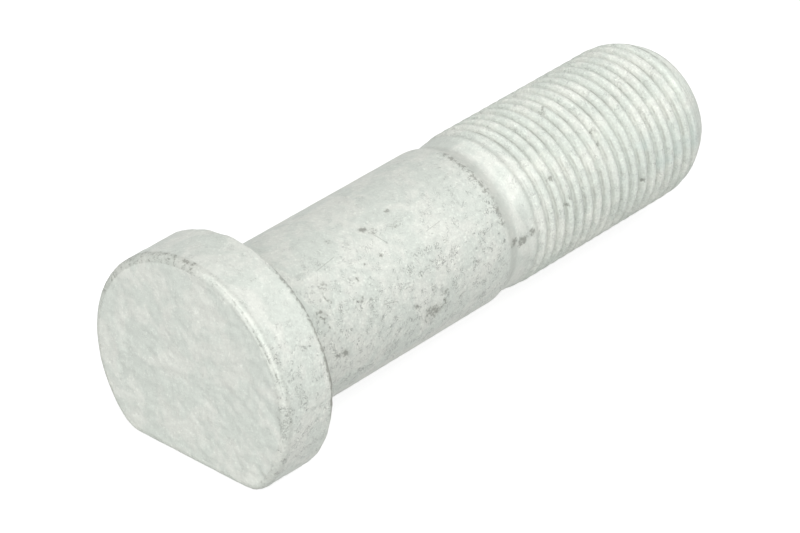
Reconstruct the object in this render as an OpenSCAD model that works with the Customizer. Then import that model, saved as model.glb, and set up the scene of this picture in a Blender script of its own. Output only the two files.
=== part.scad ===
// Wheel bolt: a forged stud with a D-shaped head, a plain shank and a fine thread.
// It is one piece of steel. It lies as it comes to rest, on the flat of its head.
// The axis of the bolt is the X axis, and the head is at the -X end.
// The origin is on the axis, in the plane of the seat under the head.

/* [Head] */
// Diameter of the round part of the head
head_d = 26.4; // [23:0.1:32]
// Thickness of the head, from its front face to the seat
head_t = 6.8; // [4:0.1:10]
// Distance from the axis to the flat on the head
flat_dist = 9.9; // [9.9:0.1:10.8]
// Radius of the rim round the front face
rim_r = 0.75; // [0.3:0.05:1.5]
// Radius of the corners between the flat and the round part
corner_r = 3.5; // [2:0.1:6]
// Radius of the edge round the seat
seat_edge_r = 0.3; // [0.1:0.1:0.3]

/* [Shank] */
// Diameter of the plain shank
shank_d = 17.9; // [15:0.1:18]
// Distance from the seat to the end of the plain shank
shank_len = 31; // [15:0.5:45]
// Radius of the fillet between the seat and the shank
fillet_r = 0.6; // [0.2:0.1:0.6]

/* [Neck] */
// Depth of the neck, below the thinner of the shank and the thread
neck_depth = 0.4; // [0.1:0.05:0.8]
// Radius of the rounded end of the shank, where it drops to the neck
step_top_r = 2; // [0.5:0.1:4]
// Radius of the hollow at the foot of that drop
step_foot_r = 3; // [0.5:0.1:4]
// Length of the straight floor of the neck
neck_floor = 0.4; // [0.2:0.1:3]
// Length of the bevel that leads from the neck up to the thread
lead_in = 3.2; // [0.5:0.1:4]

/* [Threaded end] */
// Outer diameter of the thread
thread_d = 17.8; // [15:0.05:18]
// Distance from the seat to the tip
bolt_len = 65; // [56:0.5:90]
// Length of the bevel on the tip
tip_bevel = 2.8; // [1.5:0.1:4]
// Diameter of the flat end of the tip
tip_d = 14.6; // [11:0.1:14.6]
// Radius of the shoulder where the bevel starts, or less where the bevel is too short for it
tip_shoulder_r = 6.5; // [0.5:0.5:7]
// Radius of the edge round the flat end of the tip
tip_edge_r = 0.5; // [0.1:0.1:0.8]

/* [Hidden] */
$fn = 96;

head_r = head_d / 2;
shank_r = shank_d / 2;
thread_r = thread_d / 2;
tip_r = tip_d / 2;
// Where the arc of one corner of the head has its centre, as y and z. The y is held as a
// round number and a small rest, so that the arc meets the round part without a step
corner_z = corner_r - flat_dist;
corner_y = sqrt(pow(head_r - corner_r, 2) - corner_z * corner_z);
y_grain = 0.01;
corner_y_round = round(corner_y / y_grain) * y_grain;
neck_r = min(shank_r, thread_r) - neck_depth;
// The drop from the shank to the neck is two arcs that run into each other
drop = shank_r - neck_r;
arc_sum = step_top_r + step_foot_r;
drop_len = sqrt(2 * drop * arc_sum - drop * drop);
arcs_meet = drop_len * step_top_r / arc_sum;
arcs_meet_r = shank_r - drop * step_top_r / arc_sum;
// Stations along the axis, counted from the seat
neck_start = shank_len + drop_len;
neck_end = neck_start + neck_floor;
thread_start = neck_end + lead_in;
thread_end = bolt_len - tip_bevel;
// The bevel on the tip: how far it turns in, and the largest shoulder that leaves room for the edge
bevel_turn = atan((thread_r - tip_r) / tip_bevel);
bevel_run = norm([thread_r - tip_r, tip_bevel]);
shoulder_r = min(tip_shoulder_r, (bevel_run - tip_edge_r) / tan(bevel_turn / 2));
// A margin by which one shape runs through another that it cuts or joins
through = 1;

// What a rounding takes off a sharp corner in the plane: the corner point, the directions
// of its two sides as unit vectors, and the radius that is left. It is a kite with its far
// points outside the corner, so that no skin is left along the sides
module corner_cut(corner, side_a, side_b, r) {
    half = acos(side_a * side_b) / 2;
    middle = (side_a + side_b) / norm(side_a + side_b);
    centre = corner + middle * r / sin(half);
    end_a = corner + side_a * r / tan(half);
    end_b = corner + side_b * r / tan(half);
    difference() {
        polygon([centre, 2 * end_a - centre, 2 * corner - centre, 2 * end_b - centre]);
        translate(centre) circle(r);
    }
}

// A plane shape drawn as [radius, station], turned round the bolt's axis
module turned() {
    rotate([0, 90, 0]) rotate_extrude() children();
}

// Half the section of a round plate of the head's thickness, with its rim and its seat edge rounded
module plate_section(r) {
    difference() {
        translate([0, -head_t]) square([r, head_t]);
        corner_cut([r, -head_t], [-1, 0], [0, 1], rim_r);
        corner_cut([r, 0], [-1, 0], [0, -1], seat_edge_r);
    }
}

// The head seen from the side, with the same two roundings along the flat
module flat_section() {
    difference() {
        translate([-head_t, -flat_dist]) square([head_t, flat_dist + head_d]);
        corner_cut([-head_t, -flat_dist], [1, 0], [0, 1], rim_r);
        corner_cut([0, -flat_dist], [-1, 0], [0, 1], seat_edge_r);
    }
}

// The wedge round one end of the flat, drawn as [y, z] from the corner's centre, between the
// two directions in which the corner's arc runs into the flat and into the round part,
// and reaching twice as far as the arc
module corner_wedge() {
    out = [corner_y, corner_z] * corner_r / (head_r - corner_r);
    down = [0, -corner_r];
    polygon([[0, 0], 2 * down, 2 * (down + out), 2 * out]);
}

// What the rounding of one end of the flat takes off the head: the wedge less a round post
module corner_waste() {
    translate([0, corner_y_round, corner_z]) translate([0, corner_y - corner_y_round, 0])
        difference() {
            translate([-head_t - through, 0, 0]) rotate([90, 0, 90])
                linear_extrude(head_t + 2 * through) corner_wedge();
            turned() plate_section(corner_r);
        }
}

module head() {
    difference() {
        intersection() {
            turned() plate_section(head_r);
            rotate([90, 0, 0]) linear_extrude(head_d + through, center = true) flat_section();
        }
        corner_waste();
        mirror([0, 1, 0]) corner_waste();
    }
}

// The stem with straight sides: the shank, the neck, the threaded stretch and the bevelled tip
module stem_outline() {
    polygon([
        [0, -through], [shank_r, -through], [shank_r, shank_len], [arcs_meet_r, shank_len + arcs_meet],
        [neck_r, neck_start], [neck_r, neck_end], [thread_r, thread_start], [thread_r, thread_end],
        [tip_r, bolt_len], [0, bolt_len]
    ]);
}

// The fillet at the root of the shank, with a margin into the head and the shank
module root_fillet() {
    difference() {
        translate([shank_r - through, -through]) square(fillet_r + through);
        translate([shank_r + fillet_r, fillet_r]) circle(fillet_r);
    }
}

// The rounded end of the shank, outside the straight side of the drop to the neck
module step_top() {
    intersection() {
        translate([shank_r - step_top_r, shank_len]) circle(step_top_r);
        translate([0, shank_len - through]) square([shank_r, arcs_meet + through]);
    }
}

// The hollow at the foot of the drop
module step_foot() {
    intersection() {
        translate([neck_r + step_foot_r, neck_start]) circle(step_foot_r);
        translate([neck_r, shank_len]) square([drop + through, drop_len]);
    }
}

module stem_section() {
    along_bevel = [-sin(bevel_turn), cos(bevel_turn)];
    difference() {
        union() {
            stem_outline();
            root_fillet();
            step_top();
        }
        step_foot();
        corner_cut([thread_r, thread_end], [0, -1], along_bevel, shoulder_r);
        corner_cut([tip_r, bolt_len], [-1, 0], -along_bevel, tip_edge_r);
    }
}

module wheel_bolt() {
    color("gainsboro") {
        head();
        turned() stem_section();
    }
}

wheel_bolt();
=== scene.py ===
"""Wheel bolt: the forged and coated bolt with its fine rolled thread, on a plain pale floor."""
import math
from collections import namedtuple

import bpy
import numpy as np
from mathutils import Matrix, Vector, noise


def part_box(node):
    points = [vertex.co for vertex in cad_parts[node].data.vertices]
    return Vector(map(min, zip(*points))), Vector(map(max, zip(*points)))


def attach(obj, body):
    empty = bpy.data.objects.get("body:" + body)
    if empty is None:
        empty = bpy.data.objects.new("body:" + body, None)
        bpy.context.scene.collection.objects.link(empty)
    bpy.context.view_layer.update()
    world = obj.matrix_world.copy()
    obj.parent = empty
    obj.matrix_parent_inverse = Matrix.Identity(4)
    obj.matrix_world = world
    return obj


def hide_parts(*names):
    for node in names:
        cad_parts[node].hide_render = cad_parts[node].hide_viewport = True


bl_info = {
    "name": "Wheel Bolt",
    "version": (1, 0, 0),
    "blender": (4, 5, 0),
    "location": "3D View > Sidebar > Wheel Bolt",
    "description": "Builds a forged wheel bolt with a fine rolled thread, and a stage to look at it on",
    "category": "Add Mesh",
}

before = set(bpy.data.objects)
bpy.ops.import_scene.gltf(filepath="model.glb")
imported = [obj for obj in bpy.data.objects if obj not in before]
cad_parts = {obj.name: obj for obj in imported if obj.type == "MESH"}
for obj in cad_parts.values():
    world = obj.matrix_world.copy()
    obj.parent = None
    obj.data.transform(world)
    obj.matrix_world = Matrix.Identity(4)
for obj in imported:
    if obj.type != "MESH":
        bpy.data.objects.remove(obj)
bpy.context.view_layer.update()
NODE = "wheel_bolt"
LOW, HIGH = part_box(NODE)
MM = 0.001


def size(name, text, millimetres, low=0.01, high=100.0):
    """A length that is set in millimetres here and kept in metres."""
    return bpy.props.FloatProperty(
        name=name, description=text, default=millimetres * MM, min=low * MM, max=high * MM,
        subtype="DISTANCE", unit="LENGTH", precision=5)


def tint(name, text, rgb):
    return bpy.props.FloatVectorProperty(
        name=name, description=text, default=(*rgb, 1.0), size=4, min=0.0, max=1.0, subtype="COLOR")


def share(name, text, default):
    return bpy.props.FloatProperty(
        name=name, description=text, default=default, min=0.0, max=1.0, subtype="FACTOR")


def amount(name, text, default, high=100.0):
    return bpy.props.FloatProperty(name=name, description=text, default=default, min=0.0, max=high)


class BoltSizes(bpy.types.PropertyGroup):
    """Sizes of the bolt, with stations counted from the seat under the head"""
    head_diameter: size("Head diameter", "Across the round part of the head", 2 * HIGH.z / MM)
    head_thickness: size("Head thickness", "From the front face to the seat", -LOW.x / MM)
    flat_distance: size("Flat distance", "From the axis to the flat on the head", -LOW.z / MM)
    corner_radius: size("Corner radius", "Rounding between the flat and the round part", 3.5)
    rim_radius: size("Rim radius", "Rounding of the rim round the front face", 0.75)
    seat_edge: size("Seat edge", "Radius of the edge round the seat", 0.3)
    root_fillet: size("Root fillet", "Radius between the seat and the shank", 0.6)
    shank_diameter: size("Shank diameter", "Across the plain shank", 17.9)
    shank_end: size("Shank end", "Station where the shank starts to drop to the neck", 31.0)
    neck_diameter: size("Neck diameter", "Across the floor of the neck", 17.0)
    drop_top: size("Drop top", "Radius of the rounded end of the shank", 2.0)
    drop_foot: size("Drop foot", "Radius of the hollow at the foot of the drop", 3.0)
    neck_floor: size("Neck floor", "Length of the straight floor of the neck", 0.4)
    lead_in: size("Lead-in", "Length of the bevel from the neck up to the thread", 3.2)
    thread_diameter: size("Thread diameter", "Across the crests of the thread", 17.8)
    pitch: size("Pitch", "From one crest of the thread to the next", 1.5)
    thread_depth: size("Thread depth", "From the crests to the roots, under the coat", 0.74)
    crest_width: size("Crest width", "Width of the flat on the crests", 0.34)
    crest_softness: size("Crest softness", "How far the coat rounds the edges of the crests", 0.14)
    root_softness: size("Root softness", "How far the coat fills the roots", 0.30)
    bolt_length: size("Bolt length", "Station of the tip", HIGH.x / MM)
    tip_bevel: size("Tip bevel", "Length of the bevel on the tip", 2.8)
    tip_diameter: size("Tip diameter", "Across the flat end of the tip", 14.6)
    tip_shoulder: size("Tip shoulder", "Radius of the shoulder where the bevel starts", 6.5)
    tip_edge: size("Tip edge", "Radius of the edge round the flat end", 0.5)
    columns: bpy.props.IntProperty(
        name="Columns", description="Number of points round the bolt", default=216, min=48, max=216)


class CoatFinish(bpy.types.PropertyGroup):
    """Colours and gloss of the zinc coat"""
    clean: tint("Clean coat", "Colour of the clean, lighter patches of the coat", (0.705, 0.725, 0.672))
    dull: tint("Dull coat", "Colour of the duller, cooler patches of the coat", (0.636, 0.674, 0.622))
    # the stain colour also darkens the painted shade and shadows along the rim and the head's rear edge
    stain: tint("Stain", "Colour of the dark marks and specks", (0.230, 0.235, 0.205))
    # painted shade: the roots, the neck, the rim and the lines along the flanks are darkened towards
    # this colour, with a duller coat in the roots
    hollow: tint("Hollow", "Colour of the coat deep in the thread", (0.430, 0.442, 0.400))
    bloom: tint("Bloom", "Colour of the faint cool bloom near the tip", (0.540, 0.645, 0.610))
    metallic: share("Metallic", "How far the coat looks like bare metal", 0.12)
    roughness: share("Roughness", "How matt the coat is", 0.50)


class StageLook(bpy.types.PropertyGroup):
    """Floor, light and camera"""
    floor: tint("Floor", "Colour of the floor", (0.40, 0.40, 0.40))
    floor_lift: amount("Floor lift", "White that the camera sees on top of the lit floor", 0.80, 1.0)
    world_light: amount("World light", "Strength of the soft light from all sides", 0.45, 2.0)
    key_power: amount("Key power", "Power of the large soft lamp on the head's side in watts", 8.6)
    side_power: amount("Side power", "Power of the soft lamp on the tip's side in watts", 2.2)
    lens: amount("Lens", "Focal length of the camera in millimetres", 196.18, 500.0)


# One mark on the surface: its place, its half length and half width in millimetres, how far it is
# turned in degrees, how deep it goes, and how dark it is. On the stem and on the head's side the
# place is a station along the axis and an angle round it from +Y towards +Z, and a mark's length
# lies along the axis. On the head's face the place is y and z, and the length lies along y.
Mark = namedtuple("Mark", "a b length width turn depth soil")

STEM_MARKS = (
    Mark(15.3, 110.5, 0.80, 0.60, 20, 0.04, 1.00), Mark(16.1, 115.0, 0.70, 0.60, 20, 0.02, 0.60),
    Mark(10.0, 150.0, 0.70, 0.60, 0, 0.02, 0.70), Mark(14.8, 131.5, 0.40, 0.36, 0, 0.04, 1.00),
    Mark(12.5, 131.5, 0.32, 0.28, 0, 0.03, 0.85), Mark(10.7, 137.0, 0.36, 0.32, 0, 0.03, 0.90),
    Mark(6.8, 132.0, 0.70, 1.20, 0, 0.00, 0.55), Mark(11.15, 155.0, 0.50, 0.50, 0, 0.02, 0.55),
    Mark(6.4, 177.0, 0.70, 0.60, 0, 0.06, 1.00), Mark(5.3, 176.0, 0.80, 0.30, 10, 0.02, 0.70),
    Mark(19.8, 186.5, 1.60, 1.00, 25, 0.12, 0.90), Mark(18.9, 183.0, 0.70, 0.55, 0, 0.10, 0.85),
    Mark(21.2, 175.0, 0.80, 0.55, 0, 0.02, 0.80), Mark(16.9, 174.0, 0.70, 0.45, 0, 0.02, 0.80),
    Mark(27.5, 186.0, 0.50, 0.40, 0, 0.02, 0.55), Mark(26.8, 198.0, 0.90, 0.50, 0, 0.02, 0.55),
    Mark(29.0, 98.0, 0.50, 0.35, 0, 0.01, 0.50), Mark(17.7, 91.0, 0.45, 0.35, 0, 0.01, 0.50),
    Mark(19.5, 107.5, 0.50, 0.45, 0, 0.02, 0.85), Mark(11.0, 106.0, 0.55, 0.50, 0, 0.01, 0.60),
    Mark(28.5, 107.5, 1.60, 0.30, -10, 0.01, 0.60), Mark(18.6, 119.5, 0.70, 0.40, 30, 0.02, 0.70),
    Mark(32.5, 172.0, 0.80, 0.75, 0, 0.03, 0.85), Mark(33.9, 175.0, 1.00, 0.80, 0, 0.05, 1.00),
    Mark(35.3, 172.0, 0.60, 0.55, 0, 0.03, 1.00), Mark(13.5, 198.0, 0.80, 0.50, 0, 0.01, 0.45),
    Mark(8.5, 190.0, 0.70, 0.45, 0, 0.01, 0.45), Mark(23.5, 181.0, 0.50, 0.30, 0, 0.01, 0.45),
    Mark(48.45, 135.0, 0.30, 0.55, 0, 0.30, 0.00), Mark(39.8, 145.0, 0.42, 0.52, 0, 0.20, 1.00),
    Mark(41.5, 163.0, 0.40, 0.42, 0, 0.14, 0.85), Mark(41.0, 168.0, 0.36, 0.40, 0, 0.10, 0.75),
    Mark(53.3, 183.0, 0.40, 0.36, 0, 0.14, 1.00), Mark(45.3, 98.0, 0.80, 0.60, 0, 0.03, 0.60),
)
# Marks that are pressed in along their outline only, as by the end of a pipe
RING_MARKS = (
    Mark(4.40, 147.5, 0.72, 0.68, -80, 0.07, 0.80), Mark(4.35, 148.5, 0.34, 0.30, 0, 0.06, 0.90),
    Mark(4.60, 154.5, 0.42, 0.36, 0, 0.05, 0.80), Mark(48.35, 135.5, 0.42, 0.72, 190, 0.26, 1.00),
    Mark(20.8, 183.5, 0.60, 0.50, 40, 0.10, 0.90), Mark(19.0, 189.0, 0.55, 0.45, 200, 0.08, 0.85),
    Mark(6.6, 133.5, 0.60, 1.20, 180, 0.03, 0.60),
)
SIDE_MARKS = (
    Mark(-3.5, 104.0, 0.35, 0.30, 0, 0.02, 0.60), Mark(-3.0, 115.0, 0.30, 0.26, 0, 0.02, 0.50),
    Mark(-1.6, 119.0, 0.35, 0.26, 0, 0.02, 0.50), Mark(-2.3, 130.5, 0.26, 0.22, 0, 0.03, 0.65),
    Mark(-5.5, 118.0, 0.30, 0.26, 0, 0.02, 0.50), Mark(-5.4, 145.0, 0.70, 0.22, 0, 0.02, 0.45),
    Mark(-3.6, 172.0, 1.50, 0.35, 8, 0.01, 0.45), Mark(-2.6, 178.0, 1.30, 0.30, 5, 0.01, 0.45),
    Mark(-6.3, 89.0, 0.28, 1.90, 0, 0.04, 0.70), Mark(-5.6, 158.0, 0.60, 1.20, 0, 0.05, 0.30),
)
FACE_MARKS = (
    Mark(-12.0, 0.5, 0.70, 1.60, 0, 0.06, 0.40), Mark(-11.2, -5.8, 0.90, 1.20, 30, 0.10, 0.25),
    Mark(-4.5, -9.4, 0.90, 0.35, 0, 0.10, 0.40), Mark(4.0, -9.3, 0.45, 0.30, 0, 0.08, 0.40),
    Mark(6.5, 9.8, 0.35, 0.30, 0, 0.05, 0.45), Mark(-2.8, 5.5, 0.40, 0.35, 0, 0.03, 0.20),
    Mark(9.3, -2.5, 0.50, 0.80, 20, 0.05, 0.25), Mark(10.6, 3.0, 0.40, 0.50, 0, 0.05, 0.25),
    Mark(3.2, -4.6, 0.60, 0.35, -25, 0.04, 0.15), Mark(-6.4, -3.1, 0.45, 0.45, 0, 0.04, 0.20),
    Mark(1.5, 8.4, 0.70, 0.30, 15, 0.04, 0.20), Mark(-8.2, 3.0, 0.35, 0.60, 0, 0.04, 0.15),
)

# One fine scratch on the shank: the station and angle where it starts and ends, and its half width
Scratch = namedtuple("Scratch", "x0 angle0 x1 angle1 width")
SCRATCHES = (
    Scratch(15.5, 112.5, 16.6, 128.0, 0.07), Scratch(7.0, 119.5, 10.2, 117.0, 0.06),
    Scratch(18.0, 117.5, 19.2, 121.0, 0.07), Scratch(18.1, 121.0, 19.0, 117.0, 0.06),
    Scratch(21.5, 133.0, 24.0, 131.5, 0.05), Scratch(12.5, 160.0, 14.6, 163.5, 0.06),
)

# Arcs round the bolt, as the angles where they start and end, and the width of their soft ends
ARCS = {
    "fold": (112.0, 158.0, 14.0),
    "rim line": (98.0, 140.0, 8.0),
    "dull rim": (25.0, 92.0, 8.0),
    "bright lip": (106.0, 158.0, 10.0),
    "plain side": (88.0, 107.0, 10.0),
    "rear edge": (118.0, 184.0, 16.0),
    "rear edge, darkest": (158.0, 180.0, 8.0),
    "shank end": (92.0, 152.0, 12.0),
    "specks, head": (150.0, 205.0, 20.0),
    "specks, shank": (118.0, 206.0, 14.0),
    "specks, low shank": (150.0, 206.0, 20.0),
    "specks, shank end": (95.0, 160.0, 15.0),
    "lead-in": (90.0, 142.0, 16.0),
    "tip bevel": (30.0, 128.0, 30.0),
    "thread top": (40.0, 100.0, 14.0),
    "thread flank feet": (132.0, 170.0, 12.0),
    "thread low line": (142.0, 170.0, 16.0),
    "thread underside": (185.0, 225.0, 12.0),
    "bloom": (158.0, 178.0, 10.0),
}
# Stretches along the bolt, as the stations where they start and end, and the width of their soft ends
STRETCHES = {
    "specks, shank end": (29.0, 32.0, 2.0),
    "neck": (31.8, 32.7, 0.6),
    "lead-in": (33.9, 35.0, 0.7),
    "bloom": (52.0, 62.0, 5.0),
}
# Narrow rings round the bolt, as their station and their half width
RINGS = {
    "fold": (-6.62, 0.10),
    "bright lip": (-6.45, 0.30),
    "dull rim": (-6.10, 0.25),
    "rim line": (-5.92, 0.20),
    "rear edge": (-0.20, 0.50),
    "shank end": (31.25, 0.75),
}
BATTERED_CORNER = (-9.6, -7.6, 4.2)     # y and z of its middle on the face, and how far it reaches

# The thread. Shares of a turn are counted from one crest towards the tip.
CREST_STATION = 36.82       # one crest of the thread is at this station ...
CREST_ANGLE = 120.0         # ... at this angle
RUN_OUT = (33.4, 39.6)      # the thread fades in between these stations
ROOT = (0.50, 0.25)         # middle and half width of the painted shade and the duller coat in the roots, in turns
FLANK_FOOT = (0.58, 0.22)   # middle and half width of the painted light on the feet of the flanks, in turns
# Lines of painted shade drawn along the flanks: their attribute, their middle and their half width, in
# turns
FLANK_LINES = (("high_line", 0.555, 0.080), ("low_line", 0.680, 0.075))


def smooth(t):
    """Runs softly from 0 at 0 to 1 at 1."""
    t = np.clip(t, 0.0, 1.0)
    return t * t * (3.0 - 2.0 * t)


def hill(t):
    """A soft hill: 1 at 0, and 0 from 1 outwards."""
    t = np.clip(np.abs(t), 0.0, 1.0)
    return (1.0 - t * t) ** 2


def soft_floor(t, softness):
    """The larger of t and 0, with the corner rounded."""
    return 0.5 * (t + np.sqrt(t * t + softness * softness))


def turn_gap(angle, centre):
    """The signed difference of two angles in degrees, from -180 to 180."""
    return (angle - centre + 180.0) % 360.0 - 180.0


def band(value, low, high, edge):
    """1 between low and high, and fading to 0 over the edge on both sides."""
    return smooth((value - low) / edge + 1.0) * smooth((high - value) / edge + 1.0)


def quarter_turn(rows):
    """Angles in radians from 0 to a right angle."""
    return np.radians(np.linspace(0.0, 90.0, rows))


def lumps(points, scale, seed, octaves=3):
    """Smooth seeded noise between about -1 and 1 at each point."""
    shift = Vector((17.3, 5.1, 9.7)) * seed
    return np.array([noise.fractal(Vector(p) * scale + shift, 0.9, 2.1, octaves) for p in points])


class BoltShape:
    """The skin of the bolt in millimetres, as rings of points from the head's face to the tip."""

    # how many rings of points each stretch has, or at which shares of the radius they lie
    FACE_ROWS = 40
    FACE_CROWDING = 1.25        # above 1 the rings of the face lie closer together towards its rim
    RIM_ROWS = 10
    SIDE_ROWS = 17
    SEAT_EDGE_ROWS = 5
    SEAT_SHARES = (0.33, 0.67)
    FILLET_ROWS = 7
    SHANK_ROWS = 112
    NECK_ROWS = 13
    FLANK_ROWS = np.array([0.07, 0.13, 0.22, 0.42, 0.62])   # millimetres from the middle of a crest
    TIP_EDGE_ROWS = 6
    TIP_SHARES = (0.97, 0.9, 0.8, 0.68, 0.55, 0.4, 0.25, 0.1)
    BEFORE_THREAD = 0.2         # how far before the run-out the rows start to follow the thread
    ROW_GAP = 0.02              # the least distance from such a row to the ring at either end

    def __init__(self, sizes):
        for name in sizes.__annotations__:
            value = getattr(sizes, name)
            setattr(self, name, value if name == "columns" else value / MM)
        self.head_r = self.head_diameter / 2
        self.shank_r = self.shank_diameter / 2
        self.neck_r = self.neck_diameter / 2
        self.thread_r = self.thread_diameter / 2
        self.tip_r = self.tip_diameter / 2
        self.angles = np.arange(self.columns) * 360.0 / self.columns
        turns = np.radians(self.angles)
        self.rays = np.stack([np.cos(turns), np.sin(turns)], -1)
        self.drop = self.shank_r - self.neck_r
        arcs = self.drop_top + self.drop_foot
        self.drop_length = math.sqrt(2 * self.drop * arcs - self.drop ** 2)
        self.drop_meet = self.drop_length * self.drop_top / arcs
        self.bevel_turn = math.atan2(self.thread_r - self.tip_r, self.tip_bevel)
        self.neck_end = self.shank_end + self.drop_length + self.neck_floor
        self.points = []
        self.faces = []
        self.zones = []

    # outlines

    def stem_outline(self, x):
        """Radius of the fillet, the shank, the neck and the threaded stretch, without the tip."""
        hollow = np.clip(self.root_fillet - x, 0.0, self.root_fillet)
        fillet = self.root_fillet - np.sqrt(self.root_fillet ** 2 - hollow ** 2)
        over = np.clip(x - self.shank_end, 0.0, self.drop_meet)
        top = self.shank_r - self.drop_top + np.sqrt(self.drop_top ** 2 - over ** 2)
        short = np.clip(self.shank_end + self.drop_length - x, 0.0, self.drop_length - self.drop_meet)
        foot = self.neck_r + self.drop_foot - np.sqrt(self.drop_foot ** 2 - short ** 2)
        rise = np.clip((x - self.neck_end) / self.lead_in, 0.0, 1.0) * (self.thread_r - self.neck_r)
        return np.where(x < self.shank_end + self.drop_meet, top + fillet, foot + rise)

    def tip_outline(self, x):
        """Radius of the shoulder and the bevel at the tip, and the full thread before them."""
        start = self.bolt_length - self.tip_bevel - self.tip_shoulder * math.tan(self.bevel_turn / 2)
        end = start + self.tip_shoulder * math.sin(self.bevel_turn)
        along = np.clip(x - start, 0.0, end - start)
        round_part = self.thread_r - self.tip_shoulder + np.sqrt(self.tip_shoulder ** 2 - along ** 2)
        bevel = round_part - np.clip(x - end, 0.0, None) * math.tan(self.bevel_turn)
        return np.where(x < start, self.shank_r + self.root_fillet, bevel)

    def turns_from_crest(self, x, angle):
        return (x - CREST_STATION) / self.pitch - (angle - CREST_ANGLE) / 360.0

    def groove(self, x, angle):
        """Depth of the thread below its crests."""
        u = np.abs((self.turns_from_crest(x, angle) + 0.5) % 1.0 - 0.5) * self.pitch
        flank = soft_floor((u - self.crest_width / 2) * math.sqrt(3.0), self.crest_softness)
        cut = self.thread_depth - soft_floor(self.thread_depth - flank, self.root_softness)
        return cut * smooth((x - RUN_OUT[0]) / (RUN_OUT[1] - RUN_OUT[0]))

    def stem_radius(self, x, angle):
        return np.minimum(self.tip_outline(x), self.stem_outline(x) - self.groove(x, angle))

    def head_outline(self):
        """Points of the head's outline as y and z, and their outward directions, for each column."""
        points = self.rays * self.head_r
        normals = self.rays.copy()
        cz = self.corner_radius - self.flat_distance
        cy = math.sqrt((self.head_r - self.corner_radius) ** 2 - cz ** 2)
        for k, ray in enumerate(self.rays):
            if ray[1] >= 0:
                continue
            centre = np.array([math.copysign(cy, ray[0]), cz])
            if abs(ray[0]) * self.flat_distance <= -ray[1] * cy:
                points[k] = ray * self.flat_distance / -ray[1]
                normals[k] = (0.0, -1.0)
            elif abs(ray[0]) * -cz < -ray[1] * cy:
                along = ray @ centre
                past = math.sqrt(along ** 2 - centre @ centre + self.corner_radius ** 2)
                points[k] = ray * (along + past)
                normals[k] = (points[k] - centre) / self.corner_radius
        return points, normals

    # rings of points, and the faces between them

    def add_ring(self, zone, x, yz):
        """Adds one point for each column, and returns their numbers."""
        first = len(self.points)
        self.points.extend((x, *p) for p in yz)
        self.zones.extend([zone] * self.columns)
        return range(first, first + self.columns)

    def add_round_ring(self, x, r):
        return self.add_ring("stem", x, self.rays * np.reshape(r, (-1, 1)))

    def add_stem_ring(self, x):
        """A ring with the true radius of the stem at this station."""
        return self.add_round_ring(x, self.stem_radius(np.full(self.columns, x), self.angles))

    def pairs(self):
        """The numbers of each column and of the next one."""
        return [(k, (k + 1) % self.columns) for k in range(self.columns)]

    def join(self, a, b):
        self.faces.extend((a[k], a[j], b[j], b[k]) for k, j in self.pairs())

    def join_all(self, rings):
        for a, b in zip(rings, rings[1:]):
            self.join(a, b)

    def add_middle(self, zone, x):
        self.points.append((x, 0.0, 0.0))
        self.zones.append(zone)
        return len(self.points) - 1

    def build_head(self):
        points, normals = self.head_outline()
        front, rim, edge = -self.head_thickness, self.rim_radius, self.seat_edge
        inner = points - normals * rim
        middle = self.add_middle("face", front)
        rings = []
        for i in range(1, self.FACE_ROWS):
            reach = 1.0 - (1.0 - i / self.FACE_ROWS) ** self.FACE_CROWDING
            rings.append(self.add_ring("face", front, inner * reach))
        for a in quarter_turn(self.RIM_ROWS):
            x = front + rim * (1.0 - math.cos(a))
            rings.append(self.add_ring("rim", x, inner + normals * rim * math.sin(a)))
        for x in np.linspace(rim + front, -edge, self.SIDE_ROWS)[1:-1]:
            rings.append(self.add_ring("side", x, points))
        for a in quarter_turn(self.SEAT_EDGE_ROWS):
            x = edge * (math.sin(a) - 1.0)
            rings.append(self.add_ring("side", x, points - normals * edge * (1.0 - math.cos(a))))
        seat = points - normals * edge
        root = self.rays * (self.shank_r + self.root_fillet)
        for t in self.SEAT_SHARES:
            rings.append(self.add_ring("seat", 0.0, seat * (1.0 - t) + root * t))
        self.faces.extend((middle, rings[0][j], rings[0][k]) for k, j in self.pairs())
        self.join_all(rings)
        return rings[-1]

    def build_shank(self, last):
        fillet = self.root_fillet * (1.0 - np.cos(quarter_turn(self.FILLET_ROWS)))
        shank = np.linspace(self.root_fillet, self.shank_end, self.SHANK_ROWS)[1:]
        neck = np.linspace(self.shank_end, RUN_OUT[0] - self.BEFORE_THREAD, self.NECK_ROWS)[1:]
        stations = np.concatenate([fillet, shank, neck])
        rings = [self.add_stem_ring(x) for x in stations]
        self.join_all([last, *rings])
        return rings[-1], stations[-1]

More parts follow.
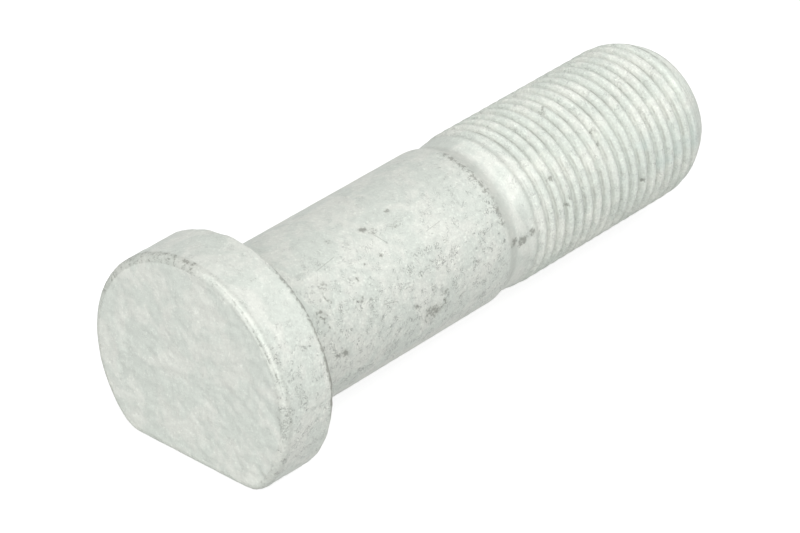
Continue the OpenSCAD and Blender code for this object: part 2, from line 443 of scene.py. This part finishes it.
    def build_thread(self, last, start, stop):
        """The threaded stretch. Its rows follow the thread, and it is clipped square at both ends."""
        rows = np.concatenate([self.FLANK_ROWS, [self.pitch / 2], (self.pitch - self.FLANK_ROWS)[::-1]])
        turns = math.ceil((stop - start) / self.pitch) + 2
        columns = []
        for angle, ray in zip(self.angles, self.rays):
            crest = CREST_STATION + self.pitch * (angle - CREST_ANGLE) / 360.0
            first_turn = math.floor((start - crest) / self.pitch)
            row = np.arange(first_turn * len(rows), (first_turn + turns) * len(rows))
            x = crest + (row // len(rows)) * self.pitch + rows[row % len(rows)]
            inside = (x > start + self.ROW_GAP) & (x < stop - self.ROW_GAP)
            row, x = row[inside], x[inside]
            r = self.stem_radius(x, angle)
            first = len(self.points)
            self.points.extend(zip(x, r * ray[0], r * ray[1]))
            self.zones.extend(["stem"] * len(x))
            columns.append((row[0], list(range(first, first + len(x)))))
        end = self.add_stem_ring(stop)
        for k, j in self.pairs():
            low_a, a = columns[k]
            low_b, b = columns[j]
            if j == 0:
                low_b -= len(rows)
            low = max(low_a, low_b)
            count = min(low_a + len(a), low_b + len(b)) - low
            a_from, b_from = low - low_a, low - low_b
            self.faces.append((last[k], last[j], *b[:b_from + 1], *reversed(a[:a_from + 1])))
            for i in range(count - 1):
                self.faces.append((a[a_from + i], b[b_from + i], b[b_from + i + 1], a[a_from + i + 1]))
            a_to, b_to = a_from + count - 1, b_from + count - 1
            self.faces.append((*b[b_to:], end[j], end[k], *reversed(a[a_to:])))
        return end

    def build_tip(self, last):
        lean = math.pi / 2 - self.bevel_turn
        centre_r = self.tip_r - self.tip_edge * math.tan(lean / 2)
        rings = [last]
        for a in np.linspace(lean, 0.0, self.TIP_EDGE_ROWS)[1:]:
            x = self.bolt_length - self.tip_edge * (1.0 - math.cos(a))
            rings.append(self.add_round_ring(x, centre_r + self.tip_edge * math.sin(a)))
        for s in self.TIP_SHARES:
            rings.append(self.add_round_ring(self.bolt_length, centre_r * s))
        self.join_all(rings)
        middle = self.add_middle("stem", self.bolt_length)
        self.faces.extend((rings[-1][k], rings[-1][j], middle) for k, j in self.pairs())

    def build(self):
        last = self.build_head()
        last, start = self.build_shank(last)
        stop = self.bolt_length - self.tip_edge * (1.0 - math.sin(self.bevel_turn))
        last = self.build_thread(last, start, stop)
        self.build_tip(last)


class Skin:
    """Moves the points of the bolt's skin where it is dented, uneven or folded, and works out what the
    finish needs to know of each point: how dark its stains and painted shade make it, how thick the
    specks lie, where painted shade darkens it, where painted light lightens it, where it has a cool
    tinge, and how strong the lines of painted shade along the thread's flanks are."""

    MARK_REACH = 1.25       # a mark's soft edge ends at this many times its half sizes
    RING_SOFTNESS = 0.55    # half width of the outline of a ring mark, as a share of its half sizes

    def __init__(self, shape, normals):
        self.shape = shape
        self.normals = normals
        self.points = np.array(shape.points)
        self.x = self.points[:, 0]
        self.radius = np.hypot(self.points[:, 1], self.points[:, 2])
        self.angle = np.degrees(np.arctan2(self.points[:, 2], self.points[:, 1])) % 360.0
        zones = np.array(shape.zones)
        self.stem = zones == "stem"
        self.face = zones == "face"
        self.rim = zones == "rim"
        self.side = self.rim | (zones == "side")
        self.rough = lumps(self.points, 0.33, 1.0)
        self.middle = lumps(self.points, 0.75, 3.0, 2)
        self.fine = lumps(self.points, 1.3, 2.0, 2)
        self.sink = np.zeros(len(self.points))
        self.soil = np.zeros(len(self.points))

    # where the points are

    def arc(self, name):
        """1 on the named arc round the bolt, and 0 off it."""
        return band(self.angle, *ARCS[name])

    def stretch(self, name):
        """1 on the named stretch along the bolt, and 0 off it."""
        return band(self.x, *STRETCHES[name])

    def ring(self, name, wander=0.0):
        """1 on the named narrow ring, which may wander along the bolt, and 0 off it."""
        station, half_width = RINGS[name]
        return hill((self.x - station - wander) / half_width)

    def phase(self, middle, half_width):
        """1 at this share of each turn of the thread, and 0 off it."""
        return hill((self.shape.turns_from_crest(self.x, self.angle) % 1.0 - middle) / half_width)

    def thread(self):
        """1 on the threaded stretch, fading to 0 before the thread and on the flat end of the tip."""
        end = self.shape.bolt_length - 0.10
        return self.stem * smooth((self.x - 35.5) / 2.0) * smooth((end - self.x) / 0.4)

    # what is done to them

    def darken(self, soil):
        self.soil = np.maximum(self.soil, soil)

    def press(self, mark, strength):
        self.sink += strength * mark.depth
        self.darken(strength * mark.soil)

    def spot(self, mark, along, across):
        """How much of a mark is at each point: 1 in the middle, and 0 outside."""
        turn = math.radians(mark.turn)
        u = (along * math.cos(turn) + across * math.sin(turn)) / mark.length
        v = (across * math.cos(turn) - along * math.sin(turn)) / mark.width
        return hill(np.hypot(u, v) / self.MARK_REACH)

    def from_mark(self, mark):
        """How far each point is from the middle of a mark, along the bolt and round it."""
        return self.x - mark.a, np.radians(turn_gap(self.angle, mark.b)) * self.radius

    def add_marks(self):
        for marks, zone in ((STEM_MARKS, self.stem), (SIDE_MARKS, self.side)):
            for mark in marks:
                self.press(mark, zone * self.spot(mark, *self.from_mark(mark)))
        for mark in RING_MARKS:
            along, across = self.from_mark(mark)
            outline = np.hypot(along / mark.length, across / mark.width) - 1.0
            side = smooth(0.60 + 0.60 * np.cos(np.arctan2(across, along) - math.radians(mark.turn)))
            self.press(mark, self.stem * hill(outline / self.RING_SOFTNESS) * side)
        for mark in FACE_MARKS:
            spot = self.spot(mark, self.points[:, 1] - mark.a, self.points[:, 2] - mark.b)
            self.press(mark, self.face * spot)

    def add_unevenness(self):
        """Strong on the forged head, less on its rim, and slight on the shank and the thread."""
        uneven = 0.10 * self.rough + 0.09 * self.middle + 0.045 * self.fine
        head = (self.face | self.side) * (1.0 - 0.7 * self.rim)
        self.sink += head * np.where(self.face, 1.0, 0.55) * uneven
        shank = self.stem * (self.x < self.shape.shank_end)
        self.sink += shank * (0.012 * self.rough + 0.005 * self.fine)
        self.sink += self.stem * (self.x > RUN_OUT[0]) * 0.016 * self.fine

    def add_rim(self):
        """The fold and the stretch of painted shade along the rim of the head, a painted shadow just
        behind the rim, and its battered lower corner.
        """
        # the fold runs along the rim on the upper right, a little inside the side, with painted shade
        # in its crease
        deep = self.arc("fold")
        wander = 0.10 * np.sin(np.radians(self.angle * 7.0)) + 0.06 * self.fine
        fold = self.rim * deep * self.ring("fold", wander)
        self.sink += 0.10 * fold + 0.05 * self.rim * deep * lumps(self.points, 2.4, 4.0, 2)
        self.darken(0.55 * fold)
        # towards the flat on the far side the rim is rough and darkened with painted shade, with a lip
        # inside
        # painted shade on this stretch of the rim
        dull = self.rim * self.arc("dull rim")
        self.darken(dull * (0.34 + 0.20 * self.ring("dull rim")))
        self.sink += dull * 0.03 * self.fine
        # a painted shadow: a darker line on the side just behind the rim
        line = self.side * self.arc("rim line") * self.ring("rim line")
        self.darken(0.40 * line)
        y, z, reach = BATTERED_CORNER
        corner = hill(np.hypot(self.points[:, 1] - y, self.points[:, 2] - z) / reach)
        self.sink += (self.rim | self.face) * corner * (0.10 + 0.14 * self.fine + 0.10 * self.middle)

    def add_soil(self):
        """Dark mottling at the end of the shank, and a painted shadow along the rear edge of the head's
        side.
        """
        end = self.ring("shank end") * self.arc("shank end")
        self.darken(0.62 * self.stem * end)
        # painted shadow along the rear edge of the head
        rear = self.ring("rear edge") * self.arc("rear edge")
        self.darken(self.side * rear * (0.75 + 0.25 * self.arc("rear edge, darkest")))

    def finished_points(self):
        """The moved points; none is lower than the floor that the flat lies on."""
        moved = self.points - self.normals * self.sink[:, None]
        moved[:, 2] = np.maximum(moved[:, 2], -self.shape.flat_distance)
        return moved

    # what the finish needs to know of them

    def specks(self):
        """How thickly the small dark specks lie."""
        shank = self.stem * smooth((self.shape.shank_end + 0.9 - self.x) / 0.8)
        end = self.stretch("specks, shank end") * self.arc("specks, shank end")
        thick = 0.14 + 0.22 * self.arc("specks, shank") + 0.32 * self.arc("specks, low shank")
        thick = thick + 0.10 * end
        head = self.side * (0.12 + 0.50 * self.arc("specks, head")) + 0.30 * self.rim
        thread = self.stem * smooth((self.x - RUN_OUT[0]) / 2.0)
        return np.clip(shank * thick + head + 0.06 * self.face + 0.30 * thread, 0.0, 1.0)

    def hollow(self):
        """Where the coat is darkened by painted shade: in the roots of the thread, where the coat is
        also duller, in the neck and along the rim.
        """
        # painted shade in the roots of the thread, in the neck and along the rim
        roots = 0.30 * self.thread() * self.phase(*ROOT)
        return roots + 0.30 * self.stem * self.stretch("neck") + 0.25 * self.rim

    def bright(self):
        """Where painted light makes the coat lighter: on the bevels at both ends of the thread, on its
        upper side and its underside, along the feet of its flanks in between, and on most of the head's
        side;
        and a painted highlight on the lip along its rim."""
        lead_in = 0.70 * self.stretch("lead-in") * self.arc("lead-in")
        bevel = 0.80 * smooth((self.x - 60.5) / 2.0) * self.arc("tip bevel")
        thread = 0.35 * self.arc("thread top") + 0.30 * self.arc("thread underside")
        thread = thread + bevel + 0.70 * self.phase(*FLANK_FOOT) * self.arc("thread flank feet")
        side = 0.15 - 0.15 * self.arc("plain side")
        # a painted highlight along the lip of the rim
        lip = 0.90 * self.rim * self.arc("bright lip") * self.ring("bright lip")
        return self.stem * lead_in + self.thread() * thread + self.side * side + lip

    def bloom(self):
        """Where the coat has a faint cool tint."""
        return 0.45 * self.thread() * self.stretch("bloom") * self.arc("bloom")

    def high_line(self):
        """How dark the line of painted shade low on the thread's flanks is: on the upper side of the
        bolt.
        """
        return self.thread() * (1.0 - smooth((np.abs(turn_gap(self.angle, 60.0)) - 56.0) / 18.0))

    def low_line(self):
        """How dark the line of painted shade halfway up the thread's flanks is: lower down."""
        return self.thread() * (0.15 + 0.60 * self.arc("thread low line"))


# materials

class Nodes:
    """Adds nodes to one tree. A value may be a number, a colour or the output of another node."""

    def __init__(self, tree):
        self.tree = tree

    def put(self, socket, value):
        if isinstance(value, bpy.types.NodeSocket):
            self.tree.links.new(value, socket)
        else:
            socket.default_value = value

    def add(self, kind, inputs=None, **settings):
        node = self.tree.nodes.new(kind)
        for key, value in settings.items():
            setattr(node, key, value)
        for key, value in (inputs or {}).items():
            self.put(node.inputs[key], value)
        return node

    def maths(self, operation, a, b=0.0, c=0.0, clamp=False):
        node = self.add("ShaderNodeMath", {0: a, 1: b, 2: c}, operation=operation, use_clamp=clamp)
        return node.outputs["Value"]

    def times(self, a, b):
        return self.maths("MULTIPLY", a, b)

    def times_plus(self, a, b, c):
        return self.maths("MULTIPLY_ADD", a, b, c)

    def larger(self, a, b):
        return self.maths("MAXIMUM", a, b)

    def minus(self, a, b):
        return self.maths("SUBTRACT", a, b)

    def apart(self, a, b):
        """How far apart two values are, without a sign."""
        return self.maths("ABSOLUTE", self.minus(a, b))

    def ramp(self, value, start, stop):
        """Runs softly from 0 at start to 1 at stop."""
        node = self.add("ShaderNodeMapRange", {"Value": value, "From Min": start, "From Max": stop},
                        interpolation_type="SMOOTHSTEP")
        return node.outputs["Result"]

    def blend(self, factor, a, b, blend_type="MIX"):
        node = self.add("ShaderNodeMix", data_type="RGBA", blend_type=blend_type)
        for number, value in ((0, factor), (6, a), (7, b)):
            self.put(node.inputs[number], value)
        return node.outputs[2]

    def vector_maths(self, operation, inputs):
        return self.add("ShaderNodeVectorMath", inputs, operation=operation).outputs[0]

    def grain(self, place, scale, detail=3.0, roughness=0.6, distortion=0.0):
        node = self.add("ShaderNodeTexNoise", {"Vector": place, "Scale": scale, "Detail": detail,
                                               "Roughness": roughness, "Distortion": distortion})
        return node.outputs["Fac"]

    def attribute(self, name):
        return self.add("ShaderNodeAttribute", attribute_name=name).outputs["Fac"]

    def seen_directly(self):
        """1 for what the camera sees, also in gloss and through glass, and 0 for soft light."""
        path = self.add("ShaderNodeLightPath").outputs
        seen = self.maths("ADD", path["Is Camera Ray"], path["Is Glossy Ray"], clamp=True)
        return self.maths("ADD", seen, path["Is Transmission Ray"], clamp=True)


class Coat(Nodes):
    """The nodes of the zinc coat. Lengths in it are in millimetres."""

    def __init__(self, tree, finish, shape):
        super().__init__(tree)
        self.finish = finish
        self.shape = shape
        where = self.add("ShaderNodeTexCoord").outputs["Object"]
        self.place = self.vector_maths("SCALE", {0: where, "Scale": 1.0 / MM})
        split = self.add("ShaderNodeSeparateXYZ", {0: self.place}).outputs
        self.station = split["X"]
        self.turn = self.maths("ARCTAN2", split["Z"], split["Y"])
        self.arc = self.times(self.turn, shape.shank_r)
        self.threaded = self.ramp(self.station, 34.6, 37.4)
        self.mottle = self.grain(self.place, 1.15, 4.0, 0.65)
        self.fine = self.grain(self.place, 3.6, 3.0, 0.7)
        self.blotches = self.grain(self.place, 0.9)
        self.specks = self.attribute("specks")
        self.hollow = self.attribute("hollow")
        self.streaks = self.rolled_lines()
        self.dark = self.dark_marks()

    def rolled_lines(self):
        """Fine lines round the bolt, as the thread rolls leave them: above and below 0."""
        drawn_out = self.vector_maths("MULTIPLY", {0: self.place, 1: (6.0, 1.2, 1.2)})
        streaks = self.minus(self.grain(drawn_out, 1.0, 4.0, 0.7), 0.5)
        return self.times(streaks, self.times_plus(self.threaded, 0.85, 0.15))

    def scratch_line(self, scratch):
        """1 on a fine straight scratch on the shank, and 0 beside it."""
        angles = (scratch.angle0, scratch.angle1)
        arc0, arc1 = (math.radians(angle) * self.shape.shank_r for angle in angles)
        run, rise = scratch.x1 - scratch.x0, arc1 - arc0
        span = math.hypot(run, rise)
        u, v = run / span, rise / span
        dx = self.minus(self.station, scratch.x0)
        da = self.minus(self.arc, arc0)
        along = self.times_plus(dx, u, self.times(da, v))
        across = self.maths("ABSOLUTE", self.times_plus(da, u, self.times(dx, -v)))
        inside = self.ramp(self.apart(along, span / 2), span / 2, span / 2 * 0.8)
        return self.times(inside, self.ramp(across, scratch.width, scratch.width * 0.3))

    def dark_marks(self):
        """Dark specks, ragged dark marks and scratches; the ragged marks are stains, and painted shade
        along the rim and the head's rear edge.
        """
        edge = self.times_plus(self.specks, -0.15, 0.735)
        dots = self.ramp(self.grain(self.place, 2.2, 4.0, 0.8), edge, self.maths("ADD", edge, 0.04))
        dots = self.times(dots, self.ramp(self.specks, 0.05, 0.5))
        soil = self.attribute("soil")
        ragged = self.times_plus(self.grain(self.place, 2.4, 4.0, 0.75), 2.6, -1.3)
        bits = self.ramp(self.times_plus(soil, 0.75, ragged), 0.34, 0.62)
        patches = self.times_plus(bits, 0.56, self.times(soil, 0.20))
        patches = self.times(patches, self.ramp(soil, 0.0, 0.25))
        dark = self.larger(self.times(dots, 0.52), patches)
        for scratch in SCRATCHES:
            dark = self.larger(dark, self.times(self.scratch_line(scratch), 0.40))
        return dark

    def tone(self):
        """How light the coat is: mottling, a fine grain, hair-like veins, painted glints, rolled lines
        and painted light.
        """
        patchy = self.times(self.minus(self.mottle, 0.5), self.times_plus(self.threaded, -0.18, 0.26))
        sandy = self.times_plus(self.specks, 0.60, self.times_plus(self.threaded, 0.12, 0.22))
        tone = self.times_plus(self.minus(self.fine, 0.5), sandy, self.maths("ADD", patchy, 1.0))
        vein = self.apart(self.grain(self.place, 1.1, 4.0, 0.75, 1.5), 0.5)
        vein = self.times(self.ramp(vein, 0.026, 0.006), self.ramp(self.blotches, 0.49, 0.57))
        vein = self.times(vein, self.times_plus(self.specks, -0.90, -0.06))
        # painted glints: small random spots painted lighter, as light catching the coat
        painted_glint = self.ramp(self.grain(self.place, 3.6, 2.0), 0.60, 0.70)
        tone = self.times_plus(painted_glint, 0.10, self.maths("ADD", vein, tone))
        tone = self.times_plus(self.streaks, 0.55, self.times_plus(self.threaded, 0.03, tone))
        # painted light: the coat is made lighter where light falls on the bevels, the thread and the
        # head's side
        return self.times_plus(self.attribute("bright"), 0.20, tone)

    def worn(self):
        """Where painted shade darkens the coat: in hollows, and along broken lines on the thread's
        flanks.
        """
        pitch = self.shape.pitch
        turns = self.times_plus(self.station, 1.0 / pitch, CREST_ANGLE / 360.0 - CREST_STATION / pitch)
        turns = self.maths("FRACT", self.times_plus(self.turn, -0.5 / math.pi, turns))
        lines = self.larger(*(self.flank_line(turns, *line) for line in FLANK_LINES))
        broken = self.ramp(self.grain(self.place, 0.8, 4.0), 0.38, 0.58)
        return self.larger(self.hollow, self.times(lines, self.times_plus(broken, 0.55, 0.22)))

    def flank_line(self, turns, name, middle, half_width):
        """A thin line of painted shade along the thread's flanks, as dark as the attribute of that name
        says.
        """
        line = self.ramp(self.apart(turns, middle), half_width, half_width * 0.3)
        return self.times(line, self.attribute(name))

    def colour(self):
        """Clean and dull clouds, then the tone with its painted light, the painted shade, the cool
        tinge and the dark marks.
        """
        cloud = self.grain(self.place, 0.28, 3.0, 0.55, 0.6)
        clouds = self.ramp(self.times_plus(self.mottle, 0.20, cloud), 0.50, 0.72)
        tone = self.tone()
        grey = self.add("ShaderNodeCombineColor", {0: tone, 1: tone, 2: tone}).outputs[0]
        colour = self.blend(clouds, self.finish.dull, self.finish.clean)
        colour = self.blend(1.0, colour, grey, "MULTIPLY")
        # painted shade: hollows and the flank lines are darkened towards the hollow colour
        colour = self.blend(self.worn(), colour, self.finish.hollow)
        colour = self.blend(self.times(self.attribute("bloom"), clouds), colour, self.finish.bloom)
        return self.blend(self.dark, colour, self.finish.stain)

    def roughness(self):
        """How matt the coat is: more so in hollows, on the thread and on dark marks."""
        matt = self.times_plus(self.mottle, 0.20, self.finish.roughness - 0.10)
        matt = self.times_plus(self.hollow, 0.30, self.times_plus(self.threaded, 0.16, matt))
        return self.maths("MULTIPLY_ADD", self.dark, 0.25, matt, clamp=True)

    def relief(self):
        """The fine relief: mottling, grain, rolled lines, pits and sunk dark marks."""
        height = self.times_plus(self.mottle, 0.6, self.times(self.fine, 0.5))
        height = self.times_plus(self.ramp(self.blotches, 0.60, 0.66), -0.40, height)
        height = self.times_plus(self.streaks, 0.7, self.times_plus(self.dark, -0.35, height))
        bump = self.add("ShaderNodeBump", {"Strength": 0.60, "Distance": 0.11 * MM, "Height": height})
        return bump.outputs["Normal"]


def coat_material(finish, shape):
    material = bpy.data.materials.new("zinc_coat")
    material.use_nodes = True
    coat = Coat(material.node_tree, finish, shape)
    shader = coat.tree.nodes["Principled BSDF"]
    coat.put(shader.inputs["Base Color"], coat.colour())
    coat.put(shader.inputs["Metallic"], finish.metallic)
    coat.put(shader.inputs["Roughness"], coat.roughness())
    coat.put(shader.inputs["Normal"], coat.relief())
    return material


def floor_material(look):
    """A dull floor that the camera sees as white, apart from the object's shadow."""
    material = bpy.data.materials.new("pale_floor")
    material.use_nodes = True
    nodes = Nodes(material.node_tree)
    shader = nodes.tree.nodes["Principled BSDF"]
    nodes.put(shader.inputs["Base Color"], look.floor)
    nodes.put(shader.inputs["Roughness"], 0.9)
    nodes.put(shader.inputs["Specular IOR Level"], 0.1)
    lift = nodes.times(nodes.seen_directly(), look.floor_lift)
    glow = nodes.add("ShaderNodeEmission", {"Strength": lift})
    both = nodes.add("ShaderNodeAddShader", {0: shader.outputs[0], 1: glow.outputs[0]})
    nodes.put(nodes.tree.nodes["Material Output"].inputs["Surface"], both.outputs[0])
    return material


# operators

def add_object(name, data):
    made = bpy.data.objects.new(name, data)
    bpy.context.scene.collection.objects.link(made)
    return made


class WHEELBOLT_OT_bolt(bpy.types.Operator):
    """Builds the forged bolt with its thread, its marks and its zinc coat"""
    bl_idname = "wheelbolt.bolt"
    bl_label = "Build Bolt"

    def execute(self, context):
        shape = BoltShape(context.scene.bolt_sizes)
        shape.build()
        mesh = bpy.data.meshes.new("forged_bolt")
        mesh.from_pydata(shape.points, [], shape.faces)
        if mesh.validate():
            raise RuntimeError("the skin of the bolt has bad faces")
        normals = np.zeros(len(shape.points) * 3)
        mesh.vertex_normals.foreach_get("vector", normals)
        skin = Skin(shape, normals.reshape(-1, 3))
        skin.add_marks()
        skin.add_unevenness()
        skin.add_rim()
        skin.add_soil()
        mesh.vertices.foreach_set("co", (skin.finished_points() * MM).ravel())
        for name, values in (("soil", skin.soil), ("specks", skin.specks()), ("hollow", skin.hollow()),
                             ("bright", skin.bright()), ("bloom", skin.bloom()),
                             ("high_line", skin.high_line()), ("low_line", skin.low_line())):
            mesh.attributes.new(name, "FLOAT", "POINT").data.foreach_set("value", values.astype(float))
        mesh.shade_smooth()
        mesh.materials.append(coat_material(context.scene.bolt_finish, shape))
        piece = add_object("forged_bolt", mesh)
        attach(piece, "root")
        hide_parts(NODE)
        return {"FINISHED"}


class WHEELBOLT_OT_stage(bpy.types.Operator):
    """Adds the floor, the lamps, the soft light from all sides and the camera"""
    bl_idname = "wheelbolt.stage"
    bl_label = "Build Stage"

    HALF_FLOOR = 2.0
    LAMP_AIM = Vector((0.03, 0.0, 0.0))
    LAMP_DISTANCE = 0.9
    # each lamp's name, its width, and the direction that it stands in
    LAMPS = (
        ("key", 1.15, Vector((-0.70, -0.45, 0.55))),
        ("side", 0.90, Vector((0.70, -0.43, 0.57))),
    )
    CAMERA_PLACE = Vector((-0.259623, -0.255936, 0.235098))
    CAMERA_RIGHT = Vector((0.668460, -0.743739, -0.002195))
    CAMERA_UP = Vector((0.392570, 0.350324, 0.850388))

    def execute(self, context):
        look = context.scene.bolt_stage
        self.add_floor(look)
        self.add_world(context, look)
        for name, width, direction in self.LAMPS:
            self.add_lamp(name, getattr(look, name + "_power"), width, direction)
        self.add_camera(context, look)
        context.scene.view_settings.view_transform = "Standard"
        return {"FINISHED"}

    def add_floor(self, look):
        h = self.HALF_FLOOR
        corners = [(-h, -h, LOW.z), (h, -h, LOW.z), (h, h, LOW.z), (-h, h, LOW.z)]
        mesh = bpy.data.meshes.new("floor")
        mesh.from_pydata(corners, [], [(0, 1, 2, 3)])
        mesh.materials.append(floor_material(look))
        add_object("floor", mesh)

    def add_world(self, context, look):
        """Soft light from all sides, which the camera sees as white."""
        world = bpy.data.worlds.new("soft_world")
        world.use_nodes = True
        nodes = Nodes(world.node_tree)
        background = nodes.tree.nodes["Background"]
        nodes.put(background.inputs["Color"], (1.0, 1.0, 1.0, 1.0))
        strength = nodes.times_plus(nodes.seen_directly(), 1.0 - look.world_light, look.world_light)
        nodes.put(background.inputs["Strength"], strength)
        context.scene.world = world

    def add_lamp(self, name, power, width, direction):
        data = bpy.data.lights.new(name, "AREA")
        data.energy = power
        data.size = width
        lamp = add_object(name, data)
        lamp.location = self.LAMP_AIM + direction.normalized() * self.LAMP_DISTANCE
        lamp.rotation_euler = (-direction).to_track_quat("-Z", "Y").to_euler()

    def add_camera(self, context, look):
        data = bpy.data.cameras.new("camera")
        data.lens = look.lens
        data.clip_start = 0.01
        camera = add_object("camera", data)
        back = self.CAMERA_RIGHT.cross(self.CAMERA_UP)
        turn = Matrix((self.CAMERA_RIGHT, self.CAMERA_UP, back)).transposed().to_4x4()
        camera.matrix_world = Matrix.Translation(self.CAMERA_PLACE) @ turn
        context.scene.camera = camera


class WHEELBOLT_PT_panel(bpy.types.Panel):
    """Lists the operators and their sizes, colours and lights"""
    bl_idname = "WHEELBOLT_PT_panel"
    bl_label = "Wheel Bolt"
    bl_space_type = "VIEW_3D"
    bl_region_type = "UI"
    bl_category = "Wheel Bolt"

    def draw(self, context):
        for operator, group in zip(OPERATORS, (("bolt_sizes", "bolt_finish"), ("bolt_stage",))):
            box = self.layout.box()
            for values in (getattr(context.scene, name) for name in group):
                for key in values.__annotations__:
                    box.prop(values, key)
            box.operator(operator.bl_idname)


OPERATORS = (WHEELBOLT_OT_bolt, WHEELBOLT_OT_stage)
GROUPS = {"bolt_sizes": BoltSizes, "bolt_finish": CoatFinish, "bolt_stage": StageLook}


def register():
    for each in (*GROUPS.values(), *OPERATORS, WHEELBOLT_PT_panel):
        bpy.utils.register_class(each)
    for name, group in GROUPS.items():
        setattr(bpy.types.Scene, name, bpy.props.PointerProperty(type=group))


def unregister():
    for name in GROUPS:
        delattr(bpy.types.Scene, name)
    for each in reversed((*GROUPS.values(), *OPERATORS, WHEELBOLT_PT_panel)):
        bpy.utils.unregister_class(each)


def main():
    register()
    bpy.ops.wheelbolt.bolt()
    bpy.ops.wheelbolt.stage()


if __name__ == "__main__":
    main()
